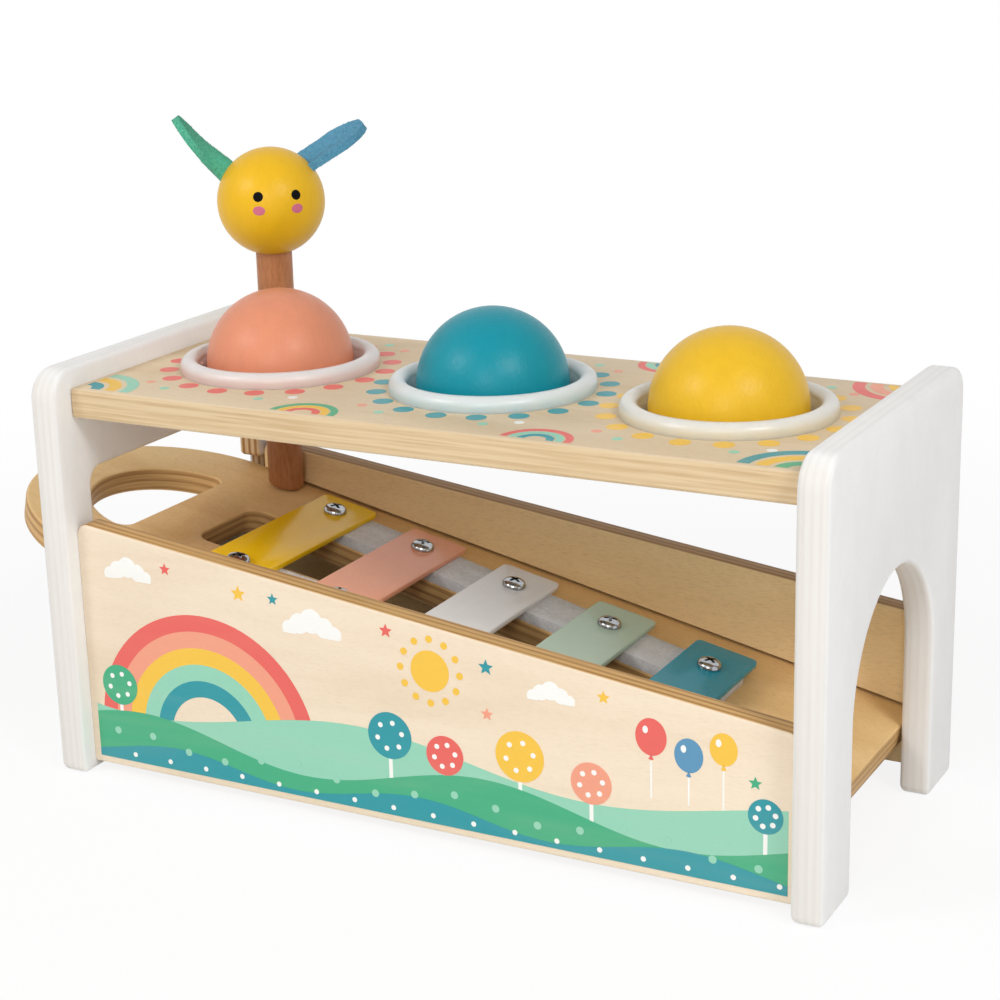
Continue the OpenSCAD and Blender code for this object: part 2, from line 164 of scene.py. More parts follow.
def own_place(tree, middle=(0, 0, 0), turned=(0, 0, 0)):
    """Object coordinates in millimetres, measured from a middle and in turned axes."""
    coords = add(tree, "ShaderNodeTexCoord").outputs["Object"]
    inputs = {
        "Vector": coords,
        "Location": [v * MM for v in middle],
        "Rotation": turned,
        "Scale": (MM, MM, MM),
    }
    return add(tree, "ShaderNodeMapping", inputs, vector_type="TEXTURE").outputs[0]


def relief(tree, shader, height, depth_mm):
    """Lets a pattern raise the surface by a depth in millimetres."""
    bump = add(tree, "ShaderNodeBump", {"Strength": 1.0, "Distance": depth_mm * MM, "Height": height})
    tree.links.new(bump.outputs[0], shader.inputs["Normal"])


print("helpers ready; mid grey is", round(colour(128, 128, 128)[0], 3))

# %% [markdown]
# ## Studio light and floor
#
# The toy stands on a white sheet in soft light: a large window-like lamp at the left front, a
# second one at the right, a lower one in front that reaches under the plate, and a pale room all
# round. The background should look pure white without flooding the toy with light, so the world and
# the floor ask the Light Path node what kind of ray has hit them. Rays from the camera, and those
# that metal or glass sends on, see white, while the light that falls on the toy stays at a plain
# level. Near the toy the floor keeps a share of its real shading, which is the shadow, and further
# out this share fades away.

# %% Light, world and floor
scene.view_settings.view_transform = "Standard"


def seen_directly(tree):
    """1 for rays from the camera and for mirrored or refracted ones, else 0."""
    rays = add(tree, "ShaderNodeLightPath").outputs
    seen = work(tree, "MAXIMUM", rays["Is Camera Ray"], rays["Is Glossy Ray"])
    return work(tree, "MAXIMUM", seen, rays["Is Transmission Ray"])


ROOM_LIGHT = 0.42
TOY_MIDDLE = Vector((0, 0, 0.09))
world = bpy.data.worlds.new("pale_room")
world.use_nodes = True
scene.world = world
sky = world.node_tree
room = sky.nodes["Background"]
room.inputs["Color"].default_value = (1, 1, 1, 1)
strength = work(sky, "MULTIPLY_ADD", seen_directly(sky), 1 - ROOM_LIGHT, ROOM_LIGHT)
sky.links.new(strength, room.inputs["Strength"])


def soft_lamp(name, direction, away, size, watts):
    """A square lamp that looks back at the middle of the toy."""
    lamp = bpy.data.objects.new(name, bpy.data.lights.new(name, "AREA"))
    lamp.data.size = size
    lamp.data.energy = watts
    aim = Vector(direction).normalized()
    lamp.location = aim * away + TOY_MIDDLE
    lamp.rotation_euler = aim.to_track_quat("Z", "Y").to_euler()
    scene.collection.objects.link(lamp)


soft_lamp("window_lamp", (-0.48, -0.64, 0.60), away=1.2, size=0.36, watts=4.4)
soft_lamp("side_lamp", (0.68, -0.40, 0.61), away=1.2, size=0.34, watts=5.2)
soft_lamp("low_lamp", (0.28, -0.89, 0.36), away=1.5, size=0.5, watts=4.7)

FLOOR_REACH, FLOOR_DROP = 8.0, 0.0002
sheet = bpy.data.meshes.new("white_floor")
sides = [(-1, -1), (1, -1), (1, 1), (-1, 1)]
corners = [(x * FLOOR_REACH, y * FLOOR_REACH, -FLOOR_DROP) for x, y in sides]
sheet.from_pydata(corners, [], [(0, 1, 2, 3)])
floor = bpy.data.objects.new("white_floor", sheet)
scene.collection.objects.link(floor)

paper = bpy.data.materials.new("white_paper")
paper.use_nodes = True
leaf = paper.node_tree
leaf.nodes.remove(leaf.nodes["Principled BSDF"])
plain = add(leaf, "ShaderNodeBsdfDiffuse", {"Color": colour(246, 246, 246)})
glow = add(leaf, "ShaderNodeEmission", {"Color": (1, 1, 1, 1), "Strength": 1.0})
away = add(leaf, "ShaderNodeVectorMath", {0: own_place(leaf)}, operation="LENGTH").outputs["Value"]
white_share = ease(leaf, away, 200, 550, 0.86, 1.0)
shaded = add(leaf, "ShaderNodeMixShader", {0: white_share, 1: plain.outputs[0], 2: glow.outputs[0]})
both = add(
    leaf, "ShaderNodeMixShader",
    {0: seen_directly(leaf), 1: plain.outputs[0], 2: shaded.outputs[0]},
)
leaf.links.new(both.outputs[0], leaf.nodes["Material Output"].inputs["Surface"])
sheet.materials.append(paper)

# %% [markdown]
# ## Rounded boards
#
# Toy makers run a round-over bit along every plywood edge, so no corner is sharp. A Bevel modifier
# does the same to a copy of the solid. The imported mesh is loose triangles, so the copy is first
# merged and its flat faces joined. Only outward edges of a larger outline are softened: the rims of
# peg holes and screw holes stay crisp, because a drill leaves them so and they hide in the joint.
# Every other steep edge is marked as sharp, or smooth shading would run dark streaks across flats.

# %% Helper that softens the edges of a solid
HOLE_SIZE = 9 * MM
STEEP = math.radians(35)


def joined_copy(node):
    """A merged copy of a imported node, with its flat faces joined into whole ones."""
    shape = bmesh.new()
    shape.from_mesh(frame["nodes"][node].data)
    bmesh.ops.remove_doubles(shape, verts=shape.verts, dist=2e-6)
    bmesh.ops.dissolve_limit(shape, angle_limit=math.radians(0.3), verts=shape.verts, edges=shape.edges)
    return shape


def outline_edges(shape):
    """Sharp outward edges, without the small rings that belong to drilled holes."""
    sharp = {e for e in shape.edges if e.is_manifold and e.calc_face_angle() > STEEP}
    kept = []
    while sharp:
        ring, todo = [], [sharp.pop()]
        while todo:
            edge = todo.pop()
            ring.append(edge)
            near = {n for v in edge.verts for n in v.link_edges} & sharp
            sharp -= near
            todo += near
        points = [v.co for e in ring for v in e.verts]
        spans = [max(p[i] for p in points) - min(p[i] for p in points) for i in range(3)]
        if max(spans) > HOLE_SIZE:
            kept += [e for e in ring if e.is_convex]
    return kept


def bake_modifiers(piece):
    """Turns what the modifiers make into the piece's own plain mesh."""
    seen = piece.evaluated_get(bpy.context.evaluated_depsgraph_get())
    mesh = bpy.data.meshes.new_from_object(seen)
    piece.modifiers.clear()
    piece.data = mesh
    return piece


def new_object(shape, name, finish=None):
    """Turns a finished shape into an object of the scene."""
    mesh = bpy.data.meshes.new(name)
    shape.to_mesh(mesh)
    shape.free()
    if finish:
        mesh.materials.append(finish)
    made = bpy.data.objects.new(name, mesh)
    scene.collection.objects.link(made)
    return made


def smooth_below(piece, degrees):
    """Smooth shading, except across edges that are steeper than this."""
    piece.data.shade_smooth()
    piece.data.set_sharp_from_angle(angle=math.radians(degrees))


def place_piece(shape, name, finish, body, node=None, smooth=None):
    """Makes a piece of the toy from a finished shape, and lets it ride on its body."""
    piece = new_object(shape, name, finish)
    if smooth:
        smooth_below(piece, smooth)
    return dress(piece, body, node)


def dress(piece, body, node=None):
    """Lets a piece ride on its body, and hides the node that it stands for."""
    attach(piece, body)
    if node:
        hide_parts(node)
    return piece


def softened(node, name, finish, body, width, steps=4, lessen=None):
    """A copy of a node whose outline is rounded over; lessen gives a smaller share for an edge."""
    shape = joined_copy(node)
    weight = shape.edges.layers.float.new("bevel_weight_edge")
    rounded = outline_edges(shape)
    for edge in shape.edges:
        edge.smooth = edge.is_manifold and edge.calc_face_angle() < STEEP
    for edge in rounded:
        edge.smooth = True
        middle = (edge.verts[0].co + edge.verts[1].co) / 2 / MM
        edge[weight] = lessen(middle) if lessen else 1.0
    piece = new_object(shape, name, finish)
    piece.data.shade_smooth()
    bevel = piece.modifiers.new("round_over", "BEVEL")
    bevel.limit_method = "WEIGHT"
    bevel.width = width * MM
    bevel.segments = steps
    bevel.use_clamp_overlap = False
    bevel.harden_normals = True
    return dress(bake_modifiers(piece), body, node)


boards = [name for name in frame["nodes"] if name.endswith(("panel", "plate", "rail", "board"))]
print("round-over ready for", boards)

# %% [markdown]
# ## Birch plywood
#
# Plywood is thin sheets glued crosswise, so a sanded edge shows stripes: tan where the fibres run
# along the edge, brown where they are cut across. The two faces are paler veneers. A picture of wood
# would have to be wrapped round each board. Here the colour is worked out from the place inside the
# board instead: the depth from the middle of the thickness tells face from edge and gives the
# stripe, and noise drawn out along the board gives the grain. Stripes then follow a round-over or a
# finger hole by themselves, as they do in real wood.

# %% Plywood finish
LYING = (0, 0, 0)
UPRIGHT = (math.radians(-90), 0, 0)
ENDWAYS = (0, math.radians(90), 0)


def ply_stripes(tree, depth, pair):
    """1 in the middle of a crosswise sheet and 0 between; pair is how far apart these sheets are."""
    wave = work(tree, "COSINE", work(tree, "MULTIPLY", depth, 2 * math.pi / pair))
    return work(tree, "MULTIPLY_ADD", wave, 0.5, 0.5)


def wood_grain(tree, place):
    """Fine fibres and broad clouds of a pale veneer, both from 0 to 1."""
    fibres = streaks(tree, place, (0.45, 2.8, 2.8), detail=3, rough=0.6)
    clouds = streaks(tree, place, (0.007, 0.05, 0.05), detail=3, bend=0.6)
    return fibres, clouds


def darker(shade, share):
    """The same shade with a share of its light."""
    return [v * share for v in shade[:3]] + [1]


def plywood(name, middle, turned, thick, pair, face, cut, stripe=0.9, grain=0.3, gloss=0.48):
    """Plywood; face and cut are each a light and a dark shade, for the veneer and for the edge."""
    finish, tree, shader = new_finish(
        name, specular_ior_level=0.1, coat_weight=0.01, coat_roughness=0.35
    )
    place = own_place(tree, middle, turned)
    fibres, clouds = wood_grain(tree, place)
    veneer = between(tree, ease(tree, clouds, 0.35, 0.75), *face)
    veneer = between(tree, ease(tree, fibres, 0.42, 0.8, 0, grain), veneer, cut[1])
    depth = add(tree, "ShaderNodeSeparateXYZ", {0: place}).outputs["Z"]
    wander = streaks(tree, place, (0.012, 0.012, 0.012), detail=2)
    uneven = work(tree, "MULTIPLY_ADD", wander, 0.7, work(tree, "SUBTRACT", depth, 0.35))
    drawn = streaks(tree, place, (0.035, 0.035, 1.4), detail=4)
    dark = ease(tree, ply_stripes(tree, uneven, pair), 0.35, 0.95, 0, stripe)
    dark = work(tree, "MULTIPLY", dark, ease(tree, drawn, 0.25, 0.65, 0.45, 1))
    edge = between(tree, ease(tree, drawn, 0.4, 0.75, 0, 0.5), cut[0], cut[1])
    edge = between(tree, dark, edge, cut[1])
    half = thick / 2
    inside = ease(tree, work(tree, "ABSOLUTE", depth), half - 0.5, half - 0.2, 1, 0)
    tree.links.new(between(tree, inside, veneer, edge), shader.inputs["Base Color"])
    tree.links.new(ease(tree, fibres, 0.3, 0.8, gloss - 0.06, gloss + 0.1), shader.inputs["Roughness"])
    relief(tree, shader, fibres, 0.03)
    return finish


front_ply = plywood(
    "front_plywood", (0, -47.9, 40), UPRIGHT, 7.6, 2.5,
    (colour(234, 217, 194), colour(225, 206, 180)), (colour(214, 176, 120), colour(152, 108, 62)),
    stripe=0.7, grain=0.1,
)
plate_ply = plywood(
    "plate_plywood", (0, -1.1, 117.5), LYING, 9, 2.4,
    (colour(222, 202, 172), colour(211, 188, 154)), (colour(216, 192, 155), colour(180, 146, 102)),
    stripe=0.36, grain=0.2,
)
rail_ply = plywood(
    "rail_plywood", (0, 53.7, 40), UPRIGHT, 7.6, 2.5,
    (colour(246, 218, 168), colour(238, 206, 154)), (colour(190, 152, 108), colour(128, 94, 62)),
    stripe=0.55, grain=0.2,
)
print("plywood finishes", [m.name for m in bpy.data.materials if "plywood" in m.name])

# %% [markdown]
# ## The top plate, front panel and rear rail
#
# The plate carries the balls, and the two boards carry the tray in grooves. Along a groove the
# edge is only broken with sandpaper, so `lessen` gives these edges a third of the round-over: an
# edge counts as part of the groove where its middle lies within the tilted layer of the tray.

# %% Plate and boards
PLATE_ROUND, BOARD_ROUND = 1.1, 0.7
TRAY_TILT, TRAY_Y = math.radians(12.18), 2.9
TRAY_FRAME = Matrix.Translation(Vector((0, TRAY_Y, 45.7)) * MM) @ Matrix.Rotation(TRAY_TILT, 4, "Y")


def groove_less(middle):
    """A third of the round-over for edges that lie in the layer of the tray."""
    out = (TRAY_FRAME.inverted() @ (middle * MM)).z / MM
    return 0.33 if -9 < out < 1.5 else 1.0


plate = softened("top_plate", "plate", plate_ply, "bench", PLATE_ROUND)
print("plate", len(plate.data.polygons), "faces")
for node, name, ply in (("front_panel", "front_board", front_ply), ("rear_rail", "rear_board", rail_ply)):
    board = softened(node, name, ply, "bench", BOARD_ROUND, lessen=groove_less)
    print(name, len(board.data.polygons), "faces")

# %% [markdown]
# ## White painted end panels
#
# The ends are plywood under two thin coats of white. Thin paint lets the grain telegraph through:
# fine upright fibres on the faces, and faint stripes on the edges. The cut inside the left panel's
# window is left bare. The finish reads the surface's own direction to tell face from edge, and the
# place to tell the window's cut from the outline. The same direction also dims the surfaces that face
# front or back: partly the greyer tone of ply edges under thin paint, and partly painted shade.

# %% White paint
END_ROUND = 1.7


def white_paint(name, middle_x, bare_window):
    """Thin white paint on an end panel, with the window's cut left bare where there is one."""
    finish, tree, shader = new_finish(
        name, specular_ior_level=0.2, coat_weight=0.01, coat_roughness=0.4
    )
    place = own_place(tree, (middle_x, 0, 64), ENDWAYS)
    fibres = streaks(tree, place, (0.3, 1.3, 1.3), detail=4, rough=0.7)
    clouds = streaks(tree, place, (0.05, 0.12, 0.12), detail=3)
    axes = add(tree, "ShaderNodeSeparateXYZ", {0: place})
    facing = add(tree, "ShaderNodeSeparateXYZ", {0: add(tree, "ShaderNodeTexCoord").outputs["Normal"]})
    edge = ease(tree, work(tree, "ABSOLUTE", facing.outputs["X"]), 0.35, 0.9, 1, 0)
    stripes = ply_stripes(tree, axes.outputs["Z"], 2.4)
    drawn = streaks(tree, place, (0.03, 0.03, 1.1), detail=4)
    white = between(tree, ease(tree, clouds, 0.3, 0.7), colour(239, 238, 236), colour(236, 235, 233))
    white = between(tree, ease(tree, fibres, 0.5, 0.85, 0, 0.35), white, colour(218, 216, 213))
    faint = work(tree, "MULTIPLY", ease(tree, stripes, 0.3, 0.9), ease(tree, drawn, 0.3, 0.7, 0.2, 1))
    # Surfaces facing front or back are dimmed: partly the tone of ply edges under thin paint, partly
    # painted shade
    front = ease(tree, work(tree, "ABSOLUTE", facing.outputs["Y"]), 0.35, 0.9, 0, 0.6)
    thin = work(tree, "MULTIPLY_ADD", work(tree, "MULTIPLY", edge, faint), 0.25, front)
    paint = between(tree, thin, white, colour(214, 208, 200))
    if bare_window:
        aside = work(tree, "ABSOLUTE", work(tree, "SUBTRACT", axes.outputs["Y"], TRAY_Y))
        deep = ease(tree, aside, 51.6, 52.2, 1, 0)
        low = work(tree, "COMPARE", axes.outputs["X"], -4.0, 38.0)
        bare = work(tree, "MULTIPLY", work(tree, "MULTIPLY", edge, deep), low)
        ply = between(tree, ease(tree, stripes, 0.3, 0.9), colour(224, 198, 158), colour(172, 130, 84))
        paint = between(tree, bare, paint, ply)
    tree.links.new(paint, shader.inputs["Base Color"])
    tree.links.new(ease(tree, fibres, 0.3, 0.8, 0.5, 0.62), shader.inputs["Roughness"])
    relief(tree, shader, fibres, 0.05)
    return finish


for side, middle_x, bare_window in (("left", -120.5, True), ("right", 120.5, False)):
    paint = white_paint(side + "_white_paint", middle_x, bare_window)
    end = softened(side + "_end_panel", side + "_end", paint, "bench", END_ROUND)
    print(end.name, len(end.data.polygons), "faces")

# %% [markdown]
# ## Pegs
#
# Beech pegs join the boards to the ends. They hide inside the wood, but they are real pieces, and a
# view with a board taken off shows them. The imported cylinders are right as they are, so they only
# get a finish with grain along the peg.

# %% Pegs


def finish_node(node, finish):
    """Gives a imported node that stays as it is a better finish."""
    frame["nodes"][node].material_slots[0].material = finish


def turned_wood(name, pale, dark, along, gloss):
    """Round stock with its grain along one axis, given as turns of noise per millimetre."""
    finish, tree, shader = new_finish(name, coat_weight=0.05, coat_roughness=0.4)
    place = own_place(tree)
    fibres = streaks(tree, place, along, detail=5, rough=0.65)
    pores = streaks(tree, place, [v * 2.6 for v in along], detail=2)
    wood = between(tree, ease(tree, fibres, 0.3, 0.75), pale, dark)
    wood = between(tree, ease(tree, pores, 0.55, 0.72, 0, 0.45), wood, darker(dark, 0.65))
    tree.links.new(wood, shader.inputs["Base Color"])
    tree.links.new(ease(tree, fibres, 0.3, 0.8, gloss, gloss + 0.12), shader.inputs["Roughness"])
    relief(tree, shader, fibres, 0.05)
    return finish


peg_wood = turned_wood("peg_beech", colour(222, 188, 142), colour(200, 160, 112), (0.08, 1.0, 1.0), 0.6)
for pegs in ("top_pegs", "front_pegs", "rail_pegs"):
    finish_node(pegs, peg_wood)
print("peg nodes finished with", peg_wood.name)

# %% [markdown]
# ## Balls and rings
#
# The balls are turned beech under a satin lacquer: a whisper of grain makes the highlight a little
# uneven. The rings are soft milky plastic. Light wanders inside it, which Subsurface does, and some
# goes through, which Transmission does. The colour that a ring picks up from the ball and the wood
# near the plate is painted into its lower part, as a painted colour bleed. Both shapes are exact in
# the imported model, so they stay and only get finishes.

# %% Lacquer and milky plastic


def lacquer(name, main, gloss=0.31):
    """Satin colour on turned wood."""
    finish, tree, shader = new_finish(
        name, specular_ior_level=0.22, coat_weight=0.02, coat_roughness=0.22
    )
    place = own_place(tree)
    grain = streaks(tree, place, (0.3, 0.3, 0.1), detail=5, rough=0.6)
    specks = streaks(tree, place, (1.5, 1.5, 0.7), detail=3)
    tint = between(tree, ease(tree, grain, 0.3, 0.75, 0, 0.6), main, darker(main, 0.92))
    tree.links.new(tint, shader.inputs["Base Color"])
    tree.links.new(ease(tree, specks, 0.3, 0.75, gloss, gloss + 0.12), shader.inputs["Roughness"])
    relief(tree, shader, specks, 0.12)
    return finish


finish_node("ball_left", lacquer("coral_lacquer", colour(219, 141, 108)))
finish_node("ball_middle", lacquer("teal_lacquer", colour(8, 138, 154)))
finish_node("ball_right", lacquer("yellow_lacquer", colour(225, 179, 37)))
finish_node("mallet_head", lacquer("mallet_lacquer", colour(230, 180, 28)))


# Heights over which the painted colour bleed fades, and the painted colour bleed of each ring
RING_RISE = (122.5, 127.0)
RING_PAINTED_BLEED = {"left": (244, 214, 204), "middle": (218, 236, 234), "right": (240, 230, 204)}


def milky_plastic(name, painted_bleed):
    """Milky soft plastic, painted near the plate with the colour that ball, print and wood shine into it:
    a painted colour bleed.
    """
    finish, tree, shader = new_finish(
        name, subsurface_weight=0.6, subsurface_radius=(1.0, 0.95, 0.88), subsurface_scale=0.005,
        transmission_weight=0.24, ior=1.38, specular_ior_level=0.5, coat_weight=0.2, coat_roughness=0.14,
    )
    place = own_place(tree)
    mist = streaks(tree, place, (0.12, 0.12, 0.12), detail=3)
    cloudy = between(tree, ease(tree, mist, 0.3, 0.7), colour(247, 248, 247), colour(240, 241, 239))
    height = add(tree, "ShaderNodeSeparateXYZ", {0: place}).outputs["Z"]
    # Painted colour bleed: the ring's lower part takes the colour that ball, print and wood shine into it
    base = between(tree, ease(tree, height, *RING_RISE, 0.9, 0.25), cloudy, painted_bleed)
    tree.links.new(base, shader.inputs["Base Color"])
    tree.links.new(ease(tree, mist, 0.3, 0.7, 0.3, 0.38), shader.inputs["Roughness"])
    return finish


for side, steps in RING_PAINTED_BLEED.items():
    finish_node("ring_" + side, milky_plastic("milky_plastic_" + side, colour(*steps)))
print("lacquers", [m.name for m in bpy.data.materials if m.name.endswith("lacquer")])

# %% [markdown]
# ## The tray
#
# The tray is one plywood board with a half-round grip, a finger hole and a sound hole under the
# bars. Its finish is the same plywood, with the axes turned by the tray's slope so that the stripes
# and the grain follow the board and not the bench.

# %% Tray
TRAY_THICK, TRAY_ROUND = 8, 1.0
tray_middle = [v / MM for v in TRAY_FRAME @ Vector((0, 0, -TRAY_THICK / 2 * MM))]
tray_ply = plywood(
    "tray_plywood", tray_middle, (0, TRAY_TILT, 0), TRAY_THICK, 2.7,
    (colour(240, 203, 146), colour(227, 187, 128)), (colour(214, 174, 118), colour(146, 102, 58)),
    stripe=0.65, grain=0.24,
)
tray = softened("tray_board", "tray", tray_ply, "tray", TRAY_ROUND)
print("tray", len(tray.data.polygons), "faces")

# %% [markdown]
# ## Bars
#
# Five strips of steel, enamelled and baked, each a little shorter than the one before. Enamel is
# smooth and glossy, so the reflection of the window lamp does most of the work. A coat over the
# colour keeps the reflection white, and a slow waviness keeps it from looking like glass.

# %% Bars
BAR_ROUND = 0.4
BAR_COLOURS = {
    "yellow": (250, 203, 10),
    "coral": (247, 174, 141),
    "white": (243, 242, 243),
    "green": (192, 215, 196),
    "teal": (10, 151, 175),
}


def enamel(name, red, green, blue):
    """Baked paint on steel."""
    finish, tree, shader = new_finish(
        name, specular_ior_level=0.18, coat_weight=0.14, coat_roughness=0.03
    )
    place = own_place(tree)
    wave = streaks(tree, place, (0.1, 0.1, 0.1), detail=2)
    dust = streaks(tree, place, (2.0, 2.0, 2.0), detail=2)
    main = colour(red, green, blue)
    paint = between(tree, ease(tree, wave, 0.3, 0.7, 0, 0.4), main, darker(main, 0.93))
    tree.links.new(paint, shader.inputs["Base Color"])
    tree.links.new(ease(tree, dust, 0.4, 0.8, 0.22, 0.3), shader.inputs["Roughness"])
    relief(tree, shader, wave, 0.02)
    return finish


for name, steps in BAR_COLOURS.items():
    paint = enamel(name + "_enamel", *steps)
    softened("bar_" + name, name + "_bar", paint, "tray", BAR_ROUND, steps=3)
print("bars", list(BAR_COLOURS))

# %% [markdown]
# ## Screws
#
# Each bar is held by two pan head screws with a cross recess. They repeat along two straight lines
# that close in, which is a job for Geometry Nodes: a Mesh Line gives the places, one screw is put on
# each of them, and a random turn with a fixed seed leaves the crosses at odd angles, as a driver
# does. The screw itself is a lathed section with the cross cut out of it.

# %% One screw


def lathe(section, steps):
    """A closed shape from a section of (radius, height) points that starts and ends on the axis."""
    shape = bmesh.new()
    rings = []
    for radius, height in section:
        count = steps if radius > 1e-9 else 1
        angles = [2 * math.pi * k / count for k in range(count)]
        spots = [(radius * math.cos(a), radius * math.sin(a), height) for a in angles]
        rings.append([shape.verts.new(spot) for spot in spots])
    for low, high in zip(rings, rings[1:]):
        for k in range(steps):
            corners = [low[k % len(low)], low[(k + 1) % len(low)]]
            corners += [high[(k + 1) % len(high)], high[k % len(high)]]
            shape.faces.new(dict.fromkeys(corners))
    bmesh.ops.recalc_face_normals(shape, faces=shape.faces)
    return shape


def scaled(section):
    """A section in metres, from one in millimetres."""
    return [(radius * MM, height * MM) for radius, height in section]


def pan_head_screw():
    """A screw with its head's underside at the origin, as an object for the tree to repeat."""
    arc = [math.radians(90 - 6 * k) for k in range(11)]
    dome = [(3.72 * math.cos(a), 0.9 + 1.5 * math.sin(a)) for a in arc]
    section = [(0, -11.5), (1.2, -11.4), (1.75, -10.2), (1.75, 0), (3.55, 0), (3.75, 0.2), (3.75, 0.75)]
    section += [(max(r, 0), h) for r, h in reversed(dome)]
    screw = new_object(lathe(scaled(section), 40), "screw")
    cross = bmesh.new()
    arm = [(0.55, 0.55), (0.5, 2.2), (-0.5, 2.2)]
    quarters = [Matrix.Rotation(math.radians(90 * k), 2) for k in range(4)]
    points = [quarter @ Vector(p) for quarter in quarters for p in arm]
    top = [cross.verts.new((p.x * MM, p.y * MM, 3 * MM)) for p in points]
    low = [cross.verts.new((p.x * 0.8 * MM, p.y * 0.8 * MM, 1.1 * MM)) for p in points]
    cross.faces.new(top)
    cross.faces.new(list(reversed(low)))
    for k in range(len(points)):
        cross.faces.new((top[k - 1], low[k - 1], low[k], top[k]))
    bmesh.ops.recalc_face_normals(cross, faces=cross.faces)
    cutter = new_object(cross, "cross")
    cut = screw.modifiers.new("cross_recess", "BOOLEAN")
    cut.object = cutter
    cut.operation = "DIFFERENCE"
    cut.solver = "EXACT"
    bake_modifiers(screw)
    bpy.data.objects.remove(cutter)
    smooth_below(screw, 32)
    return screw


screw = pan_head_screw()
print("one screw has", len(screw.data.polygons), "faces")

# %% [markdown]
# The tree has named inputs for the screw, how many there are, the first place, the step to the next
# one and the finish. Inputs of a Geometry Nodes modifier are set by the socket's identifier. The
# result is turned into a plain mesh, because instances are lost when a model leaves Blender.

# %% Rows of screws


def new_tree(name, inputs):
    """A Geometry Nodes tree with a geometry output and these named inputs."""
    tree = bpy.data.node_groups.new(name, "GeometryNodeTree")
    tree.interface.new_socket("Geometry", in_out="INPUT", socket_type="NodeSocketGeometry")
    tree.interface.new_socket("Geometry", in_out="OUTPUT", socket_type="NodeSocketGeometry")
    for title, kind in inputs.items():
        tree.interface.new_socket(title, in_out="INPUT", socket_type="NodeSocket" + kind)
    return tree, add(tree, "NodeGroupInput").outputs


def end_tree(tree, instances, finish):
    """Every tree ends the same way: real geometry with its finish."""
    real = add(tree, "GeometryNodeRealizeInstances", {0: instances}).outputs[0]
    done = add(tree, "GeometryNodeSetMaterial", {"Geometry": real, "Material": finish}).outputs[0]
    add(tree, "NodeGroupOutput", {0: done})


def grow(tree, name, base, values):
    """Runs a tree on a base mesh with these inputs, and returns its result as a plain piece."""
    piece = bpy.data.objects.new(name, base or bpy.data.meshes.new(name))
    scene.collection.objects.link(piece)
    modifier = piece.modifiers.new(name, "NODES")
    modifier.node_group = tree
    keys = {s.name: s.identifier for s in tree.interface.items_tree if s.in_out == "INPUT"}
    for title, value in values.items():
        modifier[keys[title]] = value
    return bake_modifiers(piece)


row_tree, given = new_tree(
    "screw_row",
    {
        "Screw": "Object", "Count": "Int", "First": "Vector", "Step": "Vector", "Seed": "Int",
        "Finish": "Material",
    },
)
line = add(
    row_tree, "GeometryNodeMeshLine",
    {"Count": given["Count"], "Start Location": given["First"], "Offset": given["Step"]},
    mode="OFFSET",
)
one = add(row_tree, "GeometryNodeObjectInfo", {"Object": given["Screw"]})
chance = add(
    row_tree, "FunctionNodeRandomValue",
    {2: 0.2, 3: 1.4, "Seed": given["Seed"]},
    data_type="FLOAT",
)
twist = add(row_tree, "ShaderNodeCombineXYZ", {"Z": chance.outputs[1]})
row = add(
    row_tree, "GeometryNodeInstanceOnPoints",
    {"Points": line.outputs[0], "Instance": one.outputs["Geometry"], "Rotation": twist.outputs[0]},
)
end_tree(row_tree, row.outputs[0], given["Finish"])

zinc, tree, shader = new_finish("bright_zinc", metallic=1.0)
scuffs = streaks(tree, own_place(tree), (1.5, 1.5, 1.5), detail=5)
plated = between(tree, ease(tree, scuffs, 0.3, 0.7), colour(188, 190, 193), colour(156, 158, 161))
tree.links.new(plated, shader.inputs["Base Color"])
tree.links.new(ease(tree, scuffs, 0.3, 0.75, 0.1, 0.2), shader.inputs["Roughness"])
relief(tree, shader, scuffs, 0.01)

FIRST_BAR, BAR_PITCH, BARS = -76.171, 34.583, 5
SCREW_REACH, SCREW_TAPER, UNDER_BALLS, BAR_TOP = 27.9, 0.0659, -4.1, 5.5
for name, side, seed in (("screws_rear", 1, 4), ("screws_front", -1, 9)):
    values = {
        "Screw": screw,
        "Count": BARS,
        "First": (FIRST_BAR * MM, (UNDER_BALLS + side * SCREW_REACH) * MM, BAR_TOP * MM),
        "Step": (BAR_PITCH * MM, -side * SCREW_TAPER * BAR_PITCH * MM, 0.0),
        "Seed": seed,
        "Finish": zinc,
    }
    row_piece = grow(row_tree, name.replace("screws", "screw_row"), None, values)
    row_piece.data.transform(TRAY_FRAME)
    dress(row_piece, "tray", name)
    print(row_piece.name, len(row_piece.data.polygons), "faces")
bpy.data.objects.remove(screw)

# %% [markdown]
# ## Felt strips
#
# Under each row of screws lies a strip of needled wool felt, which lets the bars ring. Felt is a
# thick cloth: the solid copy gets soft edges and a lightly lumpy surface, and loose fibres stand up
# from it. The fibres are scattered by Geometry Nodes, one thin three-sided spike each, with a fixed
# seed so that every run gives the same fuzz.

# %% Felt finish and fuzz
FIBRE_THICK = 0.035


def felt(name, main, light, dark):
    """Needled wool: a tangle of light and dark fibres."""
    finish, tree, shader = new_finish(
        name, roughness=0.95, sheen_weight=0.1, sheen_roughness=0.5, specular_ior_level=0.1
    )
    place = own_place(tree)
    tangle = streaks(tree, place, (1.1, 1.1, 1.1), detail=8, rough=0.8, bend=1.2)
    flecks = streaks(tree, place, (0.35, 0.35, 0.35), detail=4)
    wool = between(tree, ease(tree, tangle, 0.3, 0.7), dark, light)
    wool = between(tree, ease(tree, flecks, 0.4, 0.7, 0.3, 0.8), wool, main)
    tree.links.new(wool, shader.inputs["Base Color"])
    relief(tree, shader, tangle, 0.4)
    return finish


